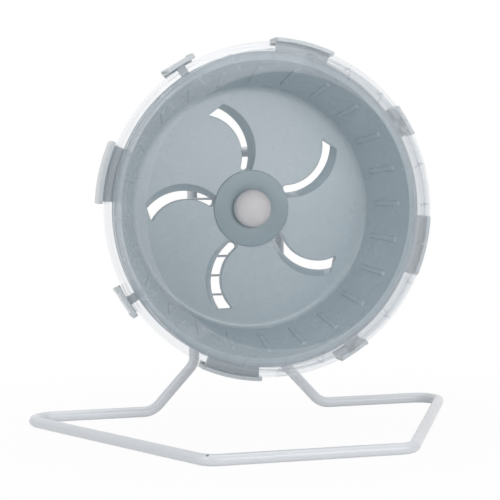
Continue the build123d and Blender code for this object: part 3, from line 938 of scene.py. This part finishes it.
def dressed_copy(node, name, body, slot, material, edge, sharp=30.0):
    """A merged, smooth copy of a node with softened edges, in the node's stead."""
    mesh = frame["nodes"][node].data.copy()
    shape = bmesh.new()
    shape.from_mesh(mesh)
    bmesh.ops.remove_doubles(shape, verts=shape.verts, dist=2e-6)
    bmesh.ops.dissolve_limit(shape, angle_limit=math.radians(0.5), verts=shape.verts, edges=shape.edges)
    shape.to_mesh(mesh)
    shape.free()
    smooth(mesh, sharp)
    mesh.materials.clear()
    mesh.materials.append(material)
    made = bpy.data.objects.new(name, mesh)
    bpy.context.scene.collection.objects.link(made)
    if edge:
        made = bevelled(made, edge, 2, sharp)
    return seat(made, body, slot, node)


class WHEEL_OT_hardware(bpy.types.Operator):
    """Finishes the bracket, clamp, axle and bearings"""
    bl_idname = "wheel.hardware"
    bl_label = "Hardware"

    def execute(self, context):
        look = context.scene.wheel_finish
        plastic = moulded_plastic("bracket_plastic", look.drum, 0.35)
        bright = turned_steel("bearing_steel", (0.62, 0.62, 0.63), 0.18, 9000.0)
        plated = turned_steel("fastener_steel", (0.52, 0.52, 0.53), 0.32, 6000.0)
        cage = moulded_plastic("cage_plastic", (0.55, 0.52, 0.42), 0.45)
        dressed_copy("axle_bracket", "bracket_body", "stand", "bracket_plastic", plastic, 0.3)
        dressed_copy("clamp_plate", "clamp_plate_body", "clamp", "bracket_plastic", plastic, 0.3)
        dressed_copy("clamp_knob", "thumb_knob", "knob", "bracket_plastic", plastic, 0.25)
        for node, made in frame["nodes"].items():
            if made.hide_render:
                continue
            if node.endswith("_cage"):
                paint = cage
            elif node.startswith(("front_bearing", "rear_bearing")):
                paint = bright
            else:
                paint = plated
            made.data.materials.clear()
            made.data.materials.append(paint)
        return {"FINISHED"}


# Stage

def seen_mask(tree):
    """1 for rays from the camera, a mirror or a clear piece, which all see the white surroundings."""
    rays = tree.nodes.new("ShaderNodeLightPath")
    camera = Field(tree, rays.outputs["Is Camera Ray"])
    mirror = Field(tree, rays.outputs["Is Glossy Ray"])
    clear = Field(tree, rays.outputs["Is Transmission Ray"])
    return camera.math("MAXIMUM", mirror).math("MAXIMUM", clear)


def floor_finish():
    """A pale floor that runs out into the white surroundings away from the wheel."""
    made = Finish("pale_floor")
    made.feed(Base_Color=(0.9, 0.9, 0.9, 1.0), Roughness=0.7)
    glow = made.node("ShaderNodeEmission", Color=(1.0, 1.0, 1.0, 1.0), Strength=1.0)
    near = made.distance((0, 0, 0)).less(0.25, 0.1)
    blend = made.tree.nodes.new("ShaderNodeMixShader")
    made.tree.links.new((seen_mask(made.tree) * (1 - near * 0.06)).socket, blend.inputs[0])
    made.tree.links.new(made.shader.outputs[0], blend.inputs[1])
    made.tree.links.new(glow.outputs[0], blend.inputs[2])
    made.tree.links.new(blend.outputs[0], made.output.inputs["Surface"])
    return made.material


def white_world(strength):
    """Surroundings that look white and light the object at the given strength."""
    world = bpy.data.worlds.new("studio")
    world.use_nodes = True
    bpy.context.scene.world = world
    tree = world.node_tree
    light = tree.nodes["Background"]
    light.inputs["Color"].default_value = (1, 1, 1, 1)
    light.inputs["Strength"].default_value = strength
    white = tree.nodes.new("ShaderNodeBackground")
    white.inputs["Color"].default_value = (1, 1, 1, 1)
    blend = tree.nodes.new("ShaderNodeMixShader")
    tree.links.new(seen_mask(tree).socket, blend.inputs[0])
    tree.links.new(light.outputs[0], blend.inputs[1])
    tree.links.new(white.outputs[0], blend.inputs[2])
    tree.links.new(blend.outputs[0], tree.nodes["World Output"].inputs["Surface"])


def soft_lamp(name, place, target, size, power):
    """A rectangular area lamp that faces a target."""
    data = bpy.data.lights.new(name, "AREA")
    data.shape = "RECTANGLE"
    data.size = size[0]
    data.size_y = size[1]
    data.energy = power
    lamp = bpy.data.objects.new(name, data)
    lamp.location = place
    lamp.rotation_mode = "QUATERNION"
    lamp.rotation_quaternion = (Vector(target) - Vector(place)).to_track_quat("-Z", "Y")
    bpy.context.scene.collection.objects.link(lamp)


class WHEEL_OT_stage(bpy.types.Operator):
    """Lays the floor and sets the lamps, the surroundings and the camera"""
    bl_idname = "wheel.stage"
    bl_label = "Stage"

    def execute(self, context):
        scene = context.scene
        scene.view_settings.view_transform = "Standard"
        size = FLOOR_HALF * MM
        mesh = bpy.data.meshes.new("floor")
        mesh.from_pydata([(-size, -size, 0), (size, -size, 0), (size, size, 0), (-size, size, 0)], [],
                         [(0, 1, 2, 3)])
        mesh.materials.append(floor_finish())
        floor = bpy.data.objects.new("floor", mesh)
        scene.collection.objects.link(floor)
        white_world(0.4)
        target = (0, WHEEL_CENTRE.y, WHEEL_CENTRE.z)
        soft_lamp("key", (0.5, -1.45, 0.5), target, (0.8, 0.8), 6.5)
        soft_lamp("side", (-1.2, -0.7, 0.8), target, (0.5, 0.8), 4.5)
        soft_lamp("top", (0.1, 0.1, 1.5), target, (1.2, 1.0), 7.0)
        data = bpy.data.cameras.new("camera")
        data.lens = CAMERA_LENS
        data.sensor_width = SENSOR_WIDTH
        camera = bpy.data.objects.new("camera", data)
        scene.collection.objects.link(camera)
        turn = Matrix((CAMERA_RIGHT, CAMERA_UP, [-part for part in CAMERA_LOOK])).transposed()
        eye = Vector(CAMERA_PLACE) + Vector((0, WHEEL_CENTRE.y, 0))
        camera.matrix_world = Matrix.Translation(eye) @ turn.to_4x4()
        scene.camera = camera
        return {"FINISHED"}


class WHEEL_PT_panel(bpy.types.Panel):
    """Lists the steps and settings of the exercise wheel"""
    bl_idname = "WHEEL_PT_panel"
    bl_label = "Exercise Wheel"
    bl_space_type = "VIEW_3D"
    bl_region_type = "UI"
    bl_category = "Exercise Wheel"

    def draw(self, context):
        for group in (context.scene.wheel_form, context.scene.wheel_finish):
            for name in group.bl_rna.properties.keys():
                if name not in ("rna_type", "name"):
                    self.layout.prop(group, name)
        for operator in OPERATORS:
            self.layout.operator(operator.bl_idname)


OPERATORS = (WHEEL_OT_drum, WHEEL_OT_guard_ring, WHEEL_OT_clips, WHEEL_OT_hub_cap, WHEEL_OT_stand,
             WHEEL_OT_hardware, WHEEL_OT_stage)
CLASSES = (WheelForm, WheelFinish, *OPERATORS, WHEEL_PT_panel)


def register():
    for one in CLASSES:
        bpy.utils.register_class(one)
    bpy.types.Scene.wheel_form = bpy.props.PointerProperty(type=WheelForm)
    bpy.types.Scene.wheel_finish = bpy.props.PointerProperty(type=WheelFinish)


def unregister():
    del bpy.types.Scene.wheel_finish
    del bpy.types.Scene.wheel_form
    for one in reversed(CLASSES):
        bpy.utils.unregister_class(one)


def main():
    """Registers the add-on and builds every piece in order."""
    register()
    for operator in OPERATORS:
        group, name = operator.bl_idname.split(".")
        getattr(getattr(bpy.ops, group), name)()


if __name__ == "__main__":
    main()
